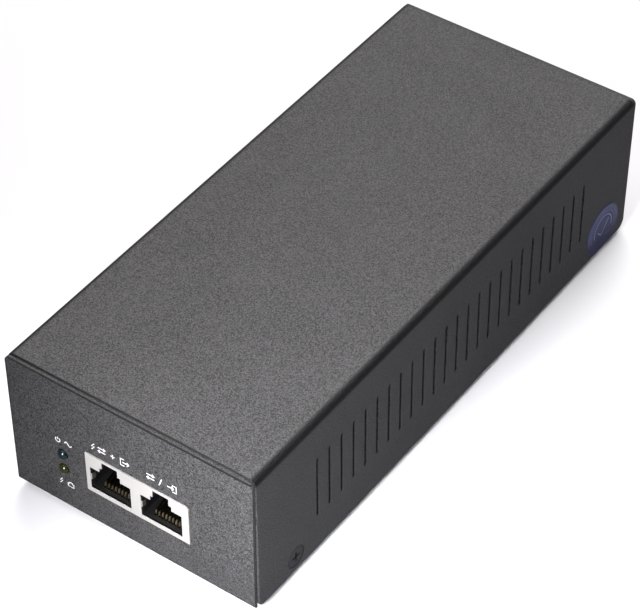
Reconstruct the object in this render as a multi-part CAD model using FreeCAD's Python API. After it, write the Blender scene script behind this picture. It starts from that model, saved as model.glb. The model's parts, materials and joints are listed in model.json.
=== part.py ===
import FreeCAD, Part
import math
import os

# A mains-powered injector that feeds power and data down one network cable.
# Millimetres, +Z up. x = 0 is the middle of the width, y = 0 the middle of the
# length, z = 0 the plane under the feet. The two network ports face -Y.

# Case
body_width = 74.0
body_length = 170.0
body_height = 44.0
foot_height = 2.0
foot_radius = 5.0
foot_inset = 10.0
foot_from_end = 20.0
sheet = 1.0
cover_bend = 2.0
pan_bend = 1.4
cut_edge_round = 0.35
cover_corner = 2.4
panel_corner = 1.4
panel_drop = 0.5
panel_right_high = 36.8
panel_right_low = 36.4
side_gap = 0.15
end_gap = 0.1
flange_height = 10.0
flange_relief = 7.0
flange_bend = 0.6

# Side vents and cover screws
vent_count = 25
vent_pitch = 5.0
vent_width = 1.0
vent_height = 20.0
vent_above_bottom = 21.4
screw_from_end = 16.0
screw_above_bottom = 4.8
cover_screw = {"head": 2.85, "cone": 1.1, "shank": 1.45, "length": 6.0}
screw_sink = 0.05
screw_rim = 0.2

# Round seal over the rear right-hand screw
seal_radius = 7.9
seal_thickness = 0.15
seal_y = 72.2
seal_above_bottom = 7.0
seal_trim = 0.8

# Network jack block, measured from the middle of the width and the case bottom
jack_left = -13.65
jack_right = 17.65
jack_low = 11.5
jack_high = 24.35
jack_depth = 21.0
jack_proud = 0.3
jack_wall = 0.25
jack_corner = 0.8
port_centres = (-6.2, 9.3)
port_floor = 12.8
port_ceiling = 20.0
port_step = 21.45
port_top = 23.65
port_half = 6.2
step_half = 3.2
latch_half = 2.42
port_depth = 12.8
contact_pitch = 1.02
contacts_per_port = 8

# Status lamps
lamp_x = -21.03
lamp_heights = (19.0, 13.95)
lamp_radius = 1.5
lamp_nose = 1.35
lamp_setback = 3.8

# Mains inlet and earth screw on the rear panel
inlet_x = 9.0
inlet_height = 23.0
inlet_screw_spacing = 40.0
inlet_flange = 2.6
inlet_body = (27.4, 20.2)
inlet_cavity = (24.0, 16.4)
inlet_cavity_depth = 15.6
inlet_body_depth = 19.0
blade_spacing = 14.0
blade_offset = 2.0
blade_recess = 4.6
earth_screw_x = -27.0
earth_screw_height = 11.0
washer_height = 0.8
lug_thickness = 0.8
wire_radius = 1.2
sleeve_grip = 1.5
tab_length = 7.5

# Board
board_thickness = 1.6
board_half_width = 33.2
board_rear = 57.0
standoff_height = 8.8
standoff_radius = 2.7
standoff_x = 29.5
standoff_rows = (-74.0, -12.0, 52.0)
film_thickness = 0.4

# Components on the board: the middle of each one's footprint, then the larger ones' sizes
board_places = {
    "terminal_block": (9.0, 41.0),
    "fuse": (28.0, 38.0),
    "varistor": (18.0, 31.0),
    "thermistor": (-2.0, 31.0),
    "x_capacitor": (-20.0, 43.0),
    "choke": (-20.0, 26.0),
    "bridge_rectifier": (10.0, 24.0),
    "bulk_capacitor": (-21.5, 4.0),
    "primary_heatsink": (28.0, 8.2),
    "transformer": (6.5, -7.0),
    "y_capacitor": (-3.5, 13.0),
    "optocoupler": (-10.0, -16.0),
    "control_chip": (-21.5, -17.5),
    "secondary_heatsink": (-29.5, -38.0),
    "inductor": (-12.0, -38.0),
    "power_controller": (24.0, -60.0),
    "output_capacitors": (8.0, -37.0),
    "line_magnetics": (1.4, -54.0),
}
choke_size = {"outer": 9.5, "inner": 5.0, "height": 9.0, "lift": 1.8}
inductor_size = {"outer": 7.0, "inner": 3.8, "height": 7.0, "lift": 1.6}
transformer_size = {"width": 24.0, "depth": 26.0, "height": 24.0, "leg": 5.0}
plate_thickness = 2.0
heatsink_screw_level = 18.0

# Levels and edges worked out from the values above
half_width = body_width / 2
front = -body_length / 2
rear = body_length / 2
bottom = foot_height
top = bottom + body_height
floor = bottom + sheet
ceiling = top - sheet
cover_end = rear - sheet - end_gap
pan_half = half_width - sheet - side_gap
panel_top = top - panel_drop
screw_rows = (front + screw_from_end, rear - screw_from_end)
screw_level = bottom + screw_above_bottom
board_low = floor + standoff_height
board_top = board_low + board_thickness
board_front = front + sheet + 0.4
jack_face = front - jack_proud
lamp_base = front + lamp_setback
inlet_level = bottom + inlet_height
inlet_face = rear + inlet_flange
earth_screw_level = bottom + earth_screw_height
tab_end = rear - inlet_body_depth - tab_length
sleeve_end = tab_end - sleeve_grip

Vector = FreeCAD.Vector


# Shape helpers

def box(x0, x1, y0, y1, z0, z1):
    return Part.makeBox(x1 - x0, y1 - y0, z1 - z0, Vector(x0, y0, z0))


def rod(radius, start, direction, length):
    return Part.makeCylinder(radius, length, Vector(*start), Vector(*direction))


def place(shape, position, direction=(0, 0, 1)):
    """Move a shape made about the origin so that its +Z points along direction."""
    turned = shape.copy()
    rotation = FreeCAD.Rotation(Vector(0, 0, 1), Vector(*direction))
    turned.Placement = FreeCAD.Placement(Vector(*position), rotation)
    return turned


def rounded_wire(points, radii, closed=False):
    """Straight runs joined by tangent arcs, with one radius for each corner."""
    corners = [Vector(*point) for point in points]
    count = len(corners)
    joints = []
    for index, corner in enumerate(corners):
        radius = radii[index]
        at_end = not closed and index in (0, count - 1)
        if radius == 0 or at_end:
            joints.append((corner, corner, corner))
            continue
        back = (corners[index - 1] - corner).normalize()
        ahead = (corners[(index + 1) % count] - corner).normalize()
        half_angle = back.getAngle(ahead) / 2
        reach = radius / math.tan(half_angle)
        middle = (back + ahead).normalize() * (radius / math.sin(half_angle) - radius)
        joints.append((corner + back * reach, corner + middle, corner + ahead * reach))
    edges = []
    for index, (start, middle, end) in enumerate(joints):
        if start.distanceToPoint(end) > 1e-6:
            edges.append(Part.Arc(start, middle, end).toShape())
        last = index == count - 1
        if last and not closed:
            break
        following = joints[(index + 1) % count][0]
        if end.distanceToPoint(following) > 1e-6:
            edges.append(Part.LineSegment(end, following).toShape())
    return Part.Wire(edges)


def plate_xz(outline, y0, y1, radii=None):
    """A plate with an (x, z) outline, from y0 to y1."""
    points = [(x, y0, z) for x, z in outline]
    wire = rounded_wire(points, radii or [0] * len(points), closed=True)
    return Part.Face(wire).extrude(Vector(0, y1 - y0, 0))


def plate_yz(outline, x0, x1, radii=None):
    """A plate with a (y, z) outline, from x0 to x1."""
    points = [(x0, y, z) for y, z in outline]
    wire = rounded_wire(points, radii or [0] * len(points), closed=True)
    return Part.Face(wire).extrude(Vector(x1 - x0, 0, 0))


def plate_xy(outline, z0, z1, radii=None):
    """A plate with an (x, y) outline, from z0 to z1."""
    points = [(x, y, z0) for x, y in outline]
    wire = rounded_wire(points, radii or [0] * len(points), closed=True)
    return Part.Face(wire).extrude(Vector(0, 0, z1 - z0))


def ribbon(points, thickness):
    """The outline of a thin strip that follows a bent line of 2D points."""
    left = []
    right = []
    for index, (a, b) in enumerate(points):
        before = points[max(index - 1, 0)]
        after = points[min(index + 1, len(points) - 1)]
        incoming = math.atan2(b - before[1], a - before[0])
        outgoing = math.atan2(after[1] - b, after[0] - a)
        if index == 0:
            incoming = outgoing
        if index == len(points) - 1:
            outgoing = incoming
        half_turn = math.remainder(outgoing - incoming, 2 * math.pi) / 2
        normal = incoming + half_turn + math.pi / 2
        reach = thickness / 2 / math.cos(half_turn)
        left.append((a + reach * math.cos(normal), b + reach * math.sin(normal)))
        right.append((a - reach * math.cos(normal), b - reach * math.sin(normal)))
    return left + right[::-1]


def lathe(outline):
    """Turn an (r, z) outline about the Z axis."""
    points = [Vector(r, 0, z) for r, z in outline]
    face = Part.Face(Part.makePolygon(points + points[:1]))
    return face.revolve(Vector(0, 0, 0), Vector(0, 0, 1), 360)


def tube(points, radius, bend):
    path = rounded_wire(points, [bend] * len(points))
    start = Vector(*points[0])
    heading = Vector(*points[1]) - start
    section = Part.Wire(Part.makeCircle(radius, start, heading))
    return path.makePipeShell([section], True, True)


def hexagon(across_flats, z0, z1):
    radius = across_flats / math.sqrt(3)
    angles = [math.radians(60 * k) for k in range(6)]
    corners = [(radius * math.cos(angle), radius * math.sin(angle)) for angle in angles]
    return plate_xy(corners, z0, z1)


def stadium_yz(y, z, width, height, x0, x1):
    """An upright slot with round ends, cut along X."""
    radius = width / 2
    reach = height / 2 - radius
    middle = box(x0, x1, y - radius, y + radius, z - reach, z + reach)
    ends = [rod(radius, (x0, y, z + side * reach), (1, 0, 0), x1 - x0) for side in (-1, 1)]
    return middle.multiFuse(ends).removeSplitter()


def middle_of(edge):
    return edge.valueAt((edge.FirstParameter + edge.LastParameter) / 2)


def near(value, target):
    return abs(value - target) < 1e-3


# Fasteners, made about the origin with the head's seat facing down -Z

def cross_recess(radius, depth):
    """The tapered cross of a screw head, open at z = 0."""
    arm = radius * 0.36
    taper = 0.35
    wing = [(-radius, 0), (radius, 0), (radius * taper, -depth), (-radius * taper, -depth)]
    across = plate_xz(wing, -arm / 2, arm / 2)
    along = across.copy()
    along.rotate(Vector(0, 0, 0), Vector(0, 0, 1), 90)
    return across.fuse(along)


def countersunk_screw(head, cone, shank, length):
    body = lathe([(0, 0), (head, 0), (head, -screw_rim), (shank, -cone), (shank, -length), (0, -length)])
    return body.cut(cross_recess(head * 0.56, cone * 0.8))


def pan_screw(head, height, shank, length):
    crown = height * 0.72
    shoulder = head * 0.7
    body = lathe([
        (0, height), (shoulder, height), (head, crown), (head, 0),
        (shank, 0), (shank, -length), (0, -length)])
    recess = place(cross_recess(head * 0.52, height * 0.7), (0, 0, height))
    return body.cut(recess)


def ring(outer, inner, z0, z1):
    return lathe([(inner, z0), (outer, z0), (outer, z1), (inner, z1)])


def nut(across_flats, bore, height):
    return hexagon(across_flats, 0, height).cut(rod(bore, (0, 0, -1), (0, 0, 1), height + 2))


# Case

def cover():
    """A sheet folded into an inverted U, with vents in both sides."""
    outer = [(-half_width, bottom), (-half_width, top), (half_width, top), (half_width, bottom)]
    inner_x = half_width - sheet
    inner = [(inner_x, bottom), (inner_x, ceiling), (-inner_x, ceiling), (-inner_x, bottom)]
    inside_bend = cover_bend - sheet
    radii = [0, cover_bend, cover_bend, 0, 0, inside_bend, inside_bend, 0]
    shell = plate_xz(outer + inner, -cover_end, cover_end, radii)

    def at_lower_corner(edge):
        spot = middle_of(edge)
        return near(abs(spot.y), cover_end) and near(spot.z, bottom)

    shell = shell.makeFillet(cover_corner, [edge for edge in shell.Edges if at_lower_corner(edge)])

    def on_cut_rim(edge):
        spot = middle_of(edge)
        ends = [vertex.Point for vertex in edge.Vertexes]
        on_side = all(near(abs(point.x), half_width) for point in ends + [spot])
        fold_line = near(spot.z, top - cover_bend) and near(spot.y, 0)
        at_end = near(abs(spot.y), cover_end)
        on_fold = hasattr(edge.Curve, "Radius") and near(edge.Curve.Radius, cover_bend)
        return (on_side and not fold_line) or (at_end and (near(spot.z, top) or on_fold))

    shell = shell.makeFillet(cut_edge_round, [edge for edge in shell.Edges if on_cut_rim(edge)])

    reach = half_width + 1
    first = -(vent_count - 1) / 2 * vent_pitch
    level = bottom + vent_above_bottom
    rows = [first + k * vent_pitch for k in range(vent_count)]
    cuts = [stadium_yz(y, level, vent_width, vent_height, -reach, reach) for y in rows]
    for y in screw_rows:
        for side in (-1, 1):
            cuts.append(place(cover_countersink(), (side * half_width, y, screw_level), (side, 0, 0)))
    return shell.cut(Part.makeCompound(cuts))


def cover_countersink():
    """The tapered hole that a cover screw's head sinks into."""
    wide = cover_screw["head"] + 0.12
    rim = screw_sink + screw_rim
    slope = (cover_screw["head"] - cover_screw["shank"]) / (cover_screw["cone"] - screw_rim)
    narrow = wide - slope * (sheet - rim)
    return lathe([(0, 1), (wide, 1), (wide, -rim), (narrow, -sheet), (narrow, -3), (0, -3)])


def folded_sheet(half, level):
    """The bottom and both end panels as one bent strip, with the panels up to a level."""
    outer = [(front, level), (front, bottom), (rear, bottom), (rear, level)]
    inner_front = front + sheet
    inner_rear = rear - sheet
    inner = [(inner_rear, level), (inner_rear, floor), (inner_front, floor), (inner_front, level)]
    inside_bend = pan_bend - sheet
    radii = [0, pan_bend, pan_bend, 0, 0, inside_bend, inside_bend, 0]
    return plate_yz(outer + inner, -half, half, radii)


def panel_blank(y0, y1):
    """An end panel's outline. Its right edge leans in slightly towards the bottom."""
    low = bottom - 1
    outline = [
        (-half_width, low), (panel_right_low, low),
        (panel_right_high, panel_top), (-half_width, panel_top)]
    return plate_xz(outline, y0, y1, [0, 0, panel_corner, panel_corner])


def base_pan():
    """The bottom with its screw flanges, and end panels that overlap the cover's cut edges."""
    pan = folded_sheet(pan_half, panel_top - 2 * panel_corner)
    y = rear - flange_relief
    flanges = []
    for x in (-pan_half, pan_half - sheet):
        flanges.append(box(x, x + sheet, -y, y, bottom, bottom + flange_height))
    pan = pan.multiFuse(flanges).removeSplitter()

    def under_flange(edge):
        spot = middle_of(edge)
        return near(abs(spot.x), pan_half) and near(spot.z, bottom) and near(spot.y, 0)

    pan = pan.makeFillet(flange_bend, [edge for edge in pan.Edges if under_flange(edge)])
    wide = folded_sheet(half_width + 1, panel_top)
    reach = sheet + end_gap / 2
    blanks = [panel_blank(front - 1, front + reach), panel_blank(rear - reach, rear + 1)]
    panels = [wide.common(blank) for blank in blanks]
    pan = pan.multiFuse(panels).removeSplitter()
    return pan.cut(Part.makeCompound(pan_openings()))


def pan_openings():
    """Everything cut through the base pan's panels, bottom and flanges."""
    room = 0.12
    through = front + sheet + 1
    cuts = [box(
        jack_left - room, jack_right + room, front - 1, through,
        bottom + jack_low - room, bottom + jack_high + room)]
    for height in lamp_heights:
        cuts.append(rod(lamp_radius + 0.1, (lamp_x, front - 1, bottom + height), (0, 1, 0), sheet + 2))
    wide, high = inlet_body
    cuts.append(box(
        inlet_x - wide / 2 - room, inlet_x + wide / 2 + room, rear - sheet - 1, rear + 1,
        inlet_level - high / 2 - room, inlet_level + high / 2 + room))
    for side in (-1, 1):
        x = inlet_x + side * inlet_screw_spacing / 2
        cuts.append(rod(1.65, (x, rear - sheet - 1, inlet_level), (0, 1, 0), sheet + 2))
        for y in screw_rows:
            start = (side * (pan_half + 1), y, screw_level)
            cuts.append(rod(cover_screw["shank"] + 0.05, start, (-side, 0, 0), sheet + 2))
    cuts.append(rod(2.1, (earth_screw_x, rear - sheet - 1, earth_screw_level), (0, 1, 0), sheet + 2))
    for x, y in standoff_places():
        cuts.append(rod(2.15, (x, y, bottom - 1), (0, 0, 1), sheet + 2))
    return cuts


def cover_screws():
    screw = countersunk_screw(**cover_screw)
    seat = half_width - screw_sink
    spots = [(side, y) for side in (-1, 1) for y in screw_rows]
    return [place(screw, (side * seat, y, screw_level), (side, 0, 0)) for side, y in spots]


def rubber_feet():
    """Stick-on discs with a bevelled tread."""
    bevel = 0.4
    foot = lathe([
        (0, 0), (foot_radius - bevel, 0), (foot_radius, bevel),
        (foot_radius, foot_height), (0, foot_height)])
    x = half_width - foot_inset
    y = rear - foot_from_end
    return [place(foot, (sx * x, sy * y, 0)) for sx in (-1, 1) for sy in (-1, 1)]


def seal_sticker():
    """A round seal over the rear right-hand screw, trimmed near the case's lower edge."""
    centre = (half_width, seal_y, bottom + seal_above_bottom)
    disc = rod(seal_radius, centre, (1, 0, 0), seal_thickness)
    below = box(half_width - 1, half_width + 1, rear - 40, rear, -5, bottom + seal_trim)
    return disc.cut(below)


# Board and what holds it

def standoff_places():
    return [(side * standoff_x, y) for y in standoff_rows for side in (-1, 1)]


def standoffs():
    """Self-clinching posts with a threaded top."""
    shank_low = bottom - floor + 0.1
    post = lathe([
        (0, shank_low), (2.1, shank_low), (2.1, 0), (standoff_radius, 0),
        (standoff_radius, standoff_height), (1.35, standoff_height), (1.35, 1.5), (0, 1.5)])
    return [place(post, (x, y, floor)) for x, y in standoff_places()]


def insulating_film():
    """A sheet of insulating film between the base pan and the board."""
    half = board_half_width - 1
    film = box(-half, half, board_front + 2, board_rear + 3, floor, floor + film_thickness)
    holes = [rod(standoff_radius + 0.6, (x, y, floor - 1), (0, 0, 1), 3) for x, y in standoff_places()]
    return film.cut(Part.makeCompound(holes))


def main_board():
    board = box(-board_half_width, board_half_width, board_front, board_rear, board_low, board_top)
    holes = [rod(1.6, (x, y, board_low - 1), (0, 0, 1), board_thickness + 2) for x, y in standoff_places()]
    slot = box(-11, -9, -30, -2, board_low - 1, board_top + 1)
    return board.cut(Part.makeCompound(holes + [slot]))


def board_screws():
    screw = pan_screw(head=2.7, height=1.8, shank=1.3, length=6.0)
    return [place(screw, (x, y, board_top)) for x, y in standoff_places()]


# Network jack

def port_outline(centre):
    low = bottom + port_floor
    half = [
        (port_half, low), (port_half, bottom + port_ceiling), (step_half, bottom + port_ceiling),
        (step_half, bottom + port_step), (latch_half, bottom + port_step), (latch_half, bottom + port_top)]
    right = [(centre + x, z) for x, z in half]
    left = [(centre - x, z) for x, z in half[::-1]]
    return right + left


def jack_section(inset):
    """The jack's cross-section with one bevelled corner, set in by a wall's thickness."""
    left = jack_left + inset
    right = jack_right - inset
    low = bottom + jack_low + inset
    high = bottom + jack_high - inset
    bevel = jack_corner - inset * (2 - math.sqrt(2))
    return [(left, low), (right, low), (right, high - bevel), (right - bevel, high), (left, high)]


def jack_shield():
    """The plated shell round both ports, with contact leaves folded into each mouth."""
    back = jack_face + jack_depth
    shell = plate_xz(jack_section(0), jack_face, back)
    hollow = plate_xz(jack_section(jack_wall), jack_face + jack_wall, back - jack_wall)
    low = bottom + jack_low
    under = box(jack_left + 1.5, jack_right - 1.5, jack_face + 2, back - 2, low - 1, low + 0.5)
    ports = [plate_xz(port_outline(x), jack_face - 1, jack_face + 2) for x in port_centres]
    shell = shell.cut(Part.makeCompound([hollow, under] + ports))
    leaves = [leaf for x in port_centres for leaf in port_leaves(x)]
    return shell.multiFuse(leaves).removeSplitter()


def port_leaves(centre):
    """Three sprung leaves that earth a plug: one on each side wall and one under the ceiling."""
    thickness = 0.2
    low = bottom + port_floor + 2.6
    high = bottom + port_ceiling - 2.6
    leaves = []
    for side in (-1, 1):
        line = [(port_half + 0.1, 0.1), (port_half - 0.4, 1.3), (port_half - 0.15, 2.4)]
        bent = [(centre + side * x, jack_face + depth) for x, depth in line]
        leaves.append(plate_xy(ribbon(bent, thickness), low, high))
    line = [(0.1, 0.1), (2.1, -0.55), (3.6, -0.2)]
    bent = [(jack_face + depth, bottom + port_ceiling + z) for depth, z in line]
    leaves.append(plate_yz(ribbon(bent, thickness), centre - port_half + 0.5, centre - step_half - 0.3))
    return leaves


def jack_housing():
    """The moulded insert behind the shield's face, with a cavity for each plug."""
    clearance = jack_wall + 0.05
    block = plate_xz(jack_section(clearance), jack_face + 0.9, jack_face + jack_depth - clearance)
    cavities = [plate_xz(port_outline(x), jack_face, jack_face + port_depth) for x in port_centres]
    block = block.cut(Part.makeCompound(cavities))
    return block.cut(Part.makeCompound([groove for x in contact_places() for groove in contact_grooves(x)]))


def contact_places():
    first = -(contacts_per_port - 1) / 2 * contact_pitch
    return [centre + first + k * contact_pitch for centre in port_centres for k in range(contacts_per_port)]


def contact_grooves(x):
    """The slots that a contact lies in: along the floor, up the rear wall and down to the board."""
    x0 = x - 0.33
    x1 = x + 0.33
    low = bottom + port_floor
    wall = jack_face + port_depth
    floor_slot = box(x0, x1, jack_face + 1.8, wall + 1, low - 1.1, low + 0.1)
    rear_slot = box(x0, x1, wall - 0.1, wall + 0.9, low - 1.2, low + 4.6)
    foot_slot = box(x0, x1, wall + 0.2, wall + 1, low - 3, low)
    return [floor_slot, rear_slot, foot_slot]


def jack_contacts():
    """Sprung gold wires that rise towards the back of each port."""
    width = 0.45
    thickness = 0.3
    low = bottom + port_floor
    line = [
        (port_depth + 0.6, board_top - low + 0.02), (port_depth + 0.6, -0.7), (2.2, -0.7),
        (2.5, 1.1), (10.6, 3.4), (port_depth + 0.4, 3.8)]
    bent = ribbon([(jack_face + depth, low + z) for depth, z in line], thickness)
    return [plate_yz(bent, x - width / 2, x + width / 2) for x in contact_places()]


# Status lamps

def lamp(height):
    """A round lamp with a domed nose and a flange behind the panel."""
    dome_y = front - lamp_nose + lamp_radius
    level = bottom + height
    body = rod(lamp_radius, (lamp_x, lamp_base, level), (0, -1, 0), lamp_base - dome_y)
    dome = Part.makeSphere(lamp_radius, Vector(lamp_x, dome_y, level))
    flange = rod(1.9, (lamp_x, lamp_base, level), (0, -1, 0), 1.0)
    return body.multiFuse([dome, flange]).removeSplitter()


def lamp_holder():
    """The right-angle block that keeps both lamps in line with their holes."""
    half = 2.5
    height = bottom + lamp_heights[0] + half
    back = lamp_base + 8
    outline = [
        (lamp_base, board_top), (back, board_top), (back, height - 3), (back - 3, height),
        (lamp_base, height)]
    return plate_yz(outline, lamp_x - half, lamp_x + half)


# Mains inlet

def inlet_outline(wide, high, bevel):
    """A rectangle whose two upper corners are cut off."""
    x = wide / 2
    z = high / 2
    points = [(-x, -z), (x, -z), (x, z - bevel), (x - bevel, z), (-x + bevel, z), (-x, z - bevel)]
    return [(inlet_x + a, inlet_level + b) for a, b in points]


def inlet_housing():
    ear = inlet_screw_spacing / 2 + 5
    shoulder = 15.5
    half_high = 12.0
    ear_half = 5.5
    half = [(ear, -ear_half), (ear, ear_half), (shoulder, half_high)]
    outline = half + [(-x, z) for x, z in half[::-1]] + [(-shoulder, -half_high), (shoulder, -half_high)]
    outline = [(inlet_x + x, inlet_level + z) for x, z in outline]
    flange = plate_xz(outline, rear, inlet_face, [2.5, 2.5, 2, 2, 2.5, 2.5, 2, 2])
    wide, high = inlet_body
    shroud = box(
        inlet_x - wide / 2, inlet_x + wide / 2, rear - inlet_body_depth, rear,
        inlet_level - high / 2, inlet_level + high / 2)
    body = flange.fuse(shroud).removeSplitter()
    mouth = inlet_outline(*inlet_cavity, 5.0)
    cavity = plate_xz(mouth, inlet_face - inlet_cavity_depth, inlet_face + 1, [1] * 6)
    cuts = [cavity] + blade_solids() + [earth_blade()]
    for side in (-1, 1):
        x = inlet_x + side * inlet_screw_spacing / 2
        hole = lathe([(0, 1), (3.05, 1), (3.05, -0.3), (1.6, -1.5), (1.6, -4), (0, -4)])
        cuts.append(place(hole, (x, inlet_face, inlet_level), (0, 1, 0)))
    return body.cut(Part.makeCompound(cuts))


def blade(x, z):
    """A contact blade with a rounded tip, and its flat tab behind the housing."""
    half_pin = 1.0
    half_height = 2.0
    half_tab = 0.4
    half_tab_height = 3.15
    floor_y = inlet_face - inlet_cavity_depth
    tip_y = inlet_face - blade_recess
    pin = box(x - half_pin, x + half_pin, floor_y - 1, tip_y, z - half_height, z + half_height)
    pin = pin.makeFillet(0.7, [edge for edge in pin.Edges if near(middle_of(edge).y, tip_y)])
    tab = box(
        x - half_tab, x + half_tab, tab_end, floor_y - 1, z - half_tab_height, z + half_tab_height)
    return pin.fuse(tab)


def blade_solids():
    return [blade(inlet_x + side * blade_spacing / 2, inlet_level - blade_offset) for side in (-1, 1)]


def earth_blade():
    return blade(inlet_x, inlet_level + blade_offset)


def inlet_screws():
    screw = countersunk_screw(head=2.9, cone=1.4, shank=1.45, length=9.0)
    places = [inlet_x + side * inlet_screw_spacing / 2 for side in (-1, 1)]
    return [place(screw, (x, inlet_face - 0.1, inlet_level), (0, 1, 0)) for x in places]


def inlet_nuts():
    places = [inlet_x + side * inlet_screw_spacing / 2 for side in (-1, 1)]
    return [place(nut(5.5, 1.5, 2.4), (x, rear - sheet, inlet_level), (0, -1, 0)) for x in places]


# Earth screw on the rear panel, and the wires from the inlet

def earth_screw():
    screw = pan_screw(head=3.7, height=2.0, shank=1.9, length=9.5)
    return place(screw, (earth_screw_x, rear + washer_height, earth_screw_level), (0, 1, 0))


def earth_washer():
    """A star washer: a ring with teeth round its rim."""
    teeth = 12
    washer = ring(4.2, 2.1, 0, washer_height)
    notches = []
    for k in range(teeth):
        angle = 2 * math.pi * k / teeth
        spot = (4.3 * math.cos(angle), 4.3 * math.sin(angle), -1)
        notches.append(rod(0.45, spot, (0, 0, 1), washer_height + 2))
    washer = washer.cut(Part.makeCompound(notches))
    return place(washer, (earth_screw_x, rear, earth_screw_level), (0, 1, 0))


def earth_nut():
    seat = rear - sheet - lug_thickness
    return place(nut(7.0, 1.95, 3.0), (earth_screw_x, seat, earth_screw_level), (0, -1, 0))


def earth_lug():
    """A ring terminal with a crimped barrel that points up."""
    x = earth_screw_x
    z = earth_screw_level
    back = rear - sheet
    eye = rod(4.0, (x, back, z), (0, -1, 0), lug_thickness)
    neck = box(x - 1.8, x + 1.8, back - lug_thickness, back, z, z + 7)
    barrel = rod(1.9, (x, back - 1.9, z + 6), (0, 0, 1), 5)
    hole = rod(2.0, (x, back + 1, z), (0, -1, 0), 4)
    bore = rod(1.25, (x, back - 1.9, z + 8), (0, 0, 1), 5)
    return eye.multiFuse([neck, barrel]).removeSplitter().cut(Part.makeCompound([hole, bore]))


def tab_sleeves():
    """Insulated push-on terminals on the three inlet tabs."""
    half = blade_spacing / 2
    places = [
        (inlet_x - half, -blade_offset), (inlet_x, blade_offset), (inlet_x + half, -blade_offset)]
    sleeves = []
    for x, offset in places:
        z = inlet_level + offset
        outer = box(x - 1.7, x + 1.7, sleeve_end, tab_end + 6.5, z - 4.0, z + 4.0)
        socket = box(x - 0.4, x + 0.4, tab_end, tab_end + 8, z - 3.15, z + 3.15)
        sleeves.append(outer.makeFillet(0.6, outer.Edges).cut(socket))
    return sleeves


def supply_wire(side):
    """A wire from an inlet tab down to the terminal block."""
    x = inlet_x + side * blade_spacing / 2
    start = inlet_level - blade_offset
    entry = board_top + 6
    rear_face = board_places["terminal_block"][1] + 4
    points = [
        (x, sleeve_end, start), (x, sleeve_end - 4, start),
        (x, rear_face + 4, entry), (x, rear_face, entry)]
    return tube(points, wire_radius, 2.6)


def earth_wire():
    """From the earth lug up and across the case to the inlet's middle tab."""
    lug_y = rear - sheet - 1.9
    barrel = earth_screw_level + 8
    lane_y = 50.0
    lane_z = bottom + 31
    tab_z = inlet_level + blade_offset
    points = [
        (earth_screw_x, lug_y, barrel), (earth_screw_x, lug_y, lane_z), (earth_screw_x, lane_y, lane_z),
        (inlet_x, lane_y, lane_z), (inlet_x, lane_y, tab_z), (inlet_x, sleeve_end, tab_z)]
    return tube(points, wire_radius, 2.9)


# Components on the board

def on_board(name, width, depth, height, lift=0.0):
    x, y = board_places[name]
    low = board_top + lift
    return box(x - width / 2, x + width / 2, y - depth / 2, y + depth / 2, low, low + height)


def legs(name, offsets, size, height):
    x, y = board_places[name]
    half = size / 2
    high = board_top + height
    spots = [(x + a, y + b) for a, b in offsets]
    return [box(a - half, a + half, b - half, b + half, board_top, high) for a, b in spots]


def upright_edges(shape):
    upright = []
    for edge in shape.Edges:
        ends = [vertex.Point for vertex in edge.Vertexes]
        if len(ends) == 2 and near(ends[0].x, ends[1].x) and near(ends[0].y, ends[1].y):
            upright.append(edge)
    return upright


def terminal_block():
    body = on_board("terminal_block", 22, 8, 11.4)
    x, y = board_places["terminal_block"]
    bores = []
    for side in (-1, 1):
        pole = x + side * blade_spacing / 2
        bores.append(rod(2.2, (pole, y, board_top + 13), (0, 0, -1), 3.0))
    return body.makeFillet(0.6, upright_edges(body)).cut(Part.makeCompound(bores))


def fuse_parts():
    """A glass tube with a metal cap at each end."""
    x, y = board_places["fuse"]
    z = board_top + 3.4
    length = 20.0
    cap = 5.0
    tube_body = rod(2.5, (x, y - length / 2 + cap, z), (0, 1, 0), length - 2 * cap)
    caps = []
    for side in (-1, 1):
        end = rod(2.9, (x, y + side * length / 2, z), (0, -side, 0), cap)
        middle = y + side * (length - cap) / 2
        foot = box(x - 0.4, x + 0.4, middle - 1, middle + 1, board_top, board_top + 1)
        caps.append(end.fuse(foot))
    return tube_body, caps


def disc_part(name, radius, thickness, lift):
    """A coated disc that stands on two legs."""
    x, y = board_places[name]
    centre = board_top + lift + radius
    disc = rod(radius, (x, y - thickness / 2, centre), (0, 1, 0), thickness)
    disc = disc.makeFillet(thickness * 0.35, [edge for edge in disc.Edges if len(edge.Vertexes) == 1])
    pair = [(-radius * 0.45, 0), (radius * 0.45, 0)]
    return disc.multiFuse(legs(name, pair, 0.7, lift + radius * 0.3)).removeSplitter()


def x_capacitor():
    body = on_board("x_capacitor", 18, 9, 15, lift=0.5)
    body = body.makeFillet(0.8, upright_edges(body))
    return body.multiFuse(legs("x_capacitor", [(-7.5, 0), (7.5, 0)], 0.8, 1)).removeSplitter()


def toroid_core(name, outer, inner, height, lift):
    x, y = board_places[name]
    core = ring(outer, inner, 0, height)
    rims = [edge for edge in core.Edges if len(edge.Vertexes) == 1 and edge.Length > 1]
    return place(core.makeFillet(0.6, rims), (x, y, board_top + lift))


def toroid_windings(name, outer, inner, height, lift, wire, spans):
    """Wire wound through a ring core: one closed loop for each turn, joined by a thin inner bead."""
    x, y = board_places[name]
    reach = 0.1
    loops = []
    for start, turns, step in spans:
        for k in range(turns):
            low, high = -wire - reach, height + wire + reach
            near_x, far_x = inner - wire - reach, outer + wire + reach
            loop = box(near_x, far_x, -wire / 2, wire / 2, low, high)
            hole = box(inner - reach, outer + reach, -wire, wire, -reach, height + reach)
            loop = loop.cut(hole)
            loop.rotate(Vector(0, 0, 0), Vector(0, 0, 1), start + k * step)
            loop.translate(Vector(x, y, board_top + lift))
            loops.append(loop)
    return loops


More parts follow.
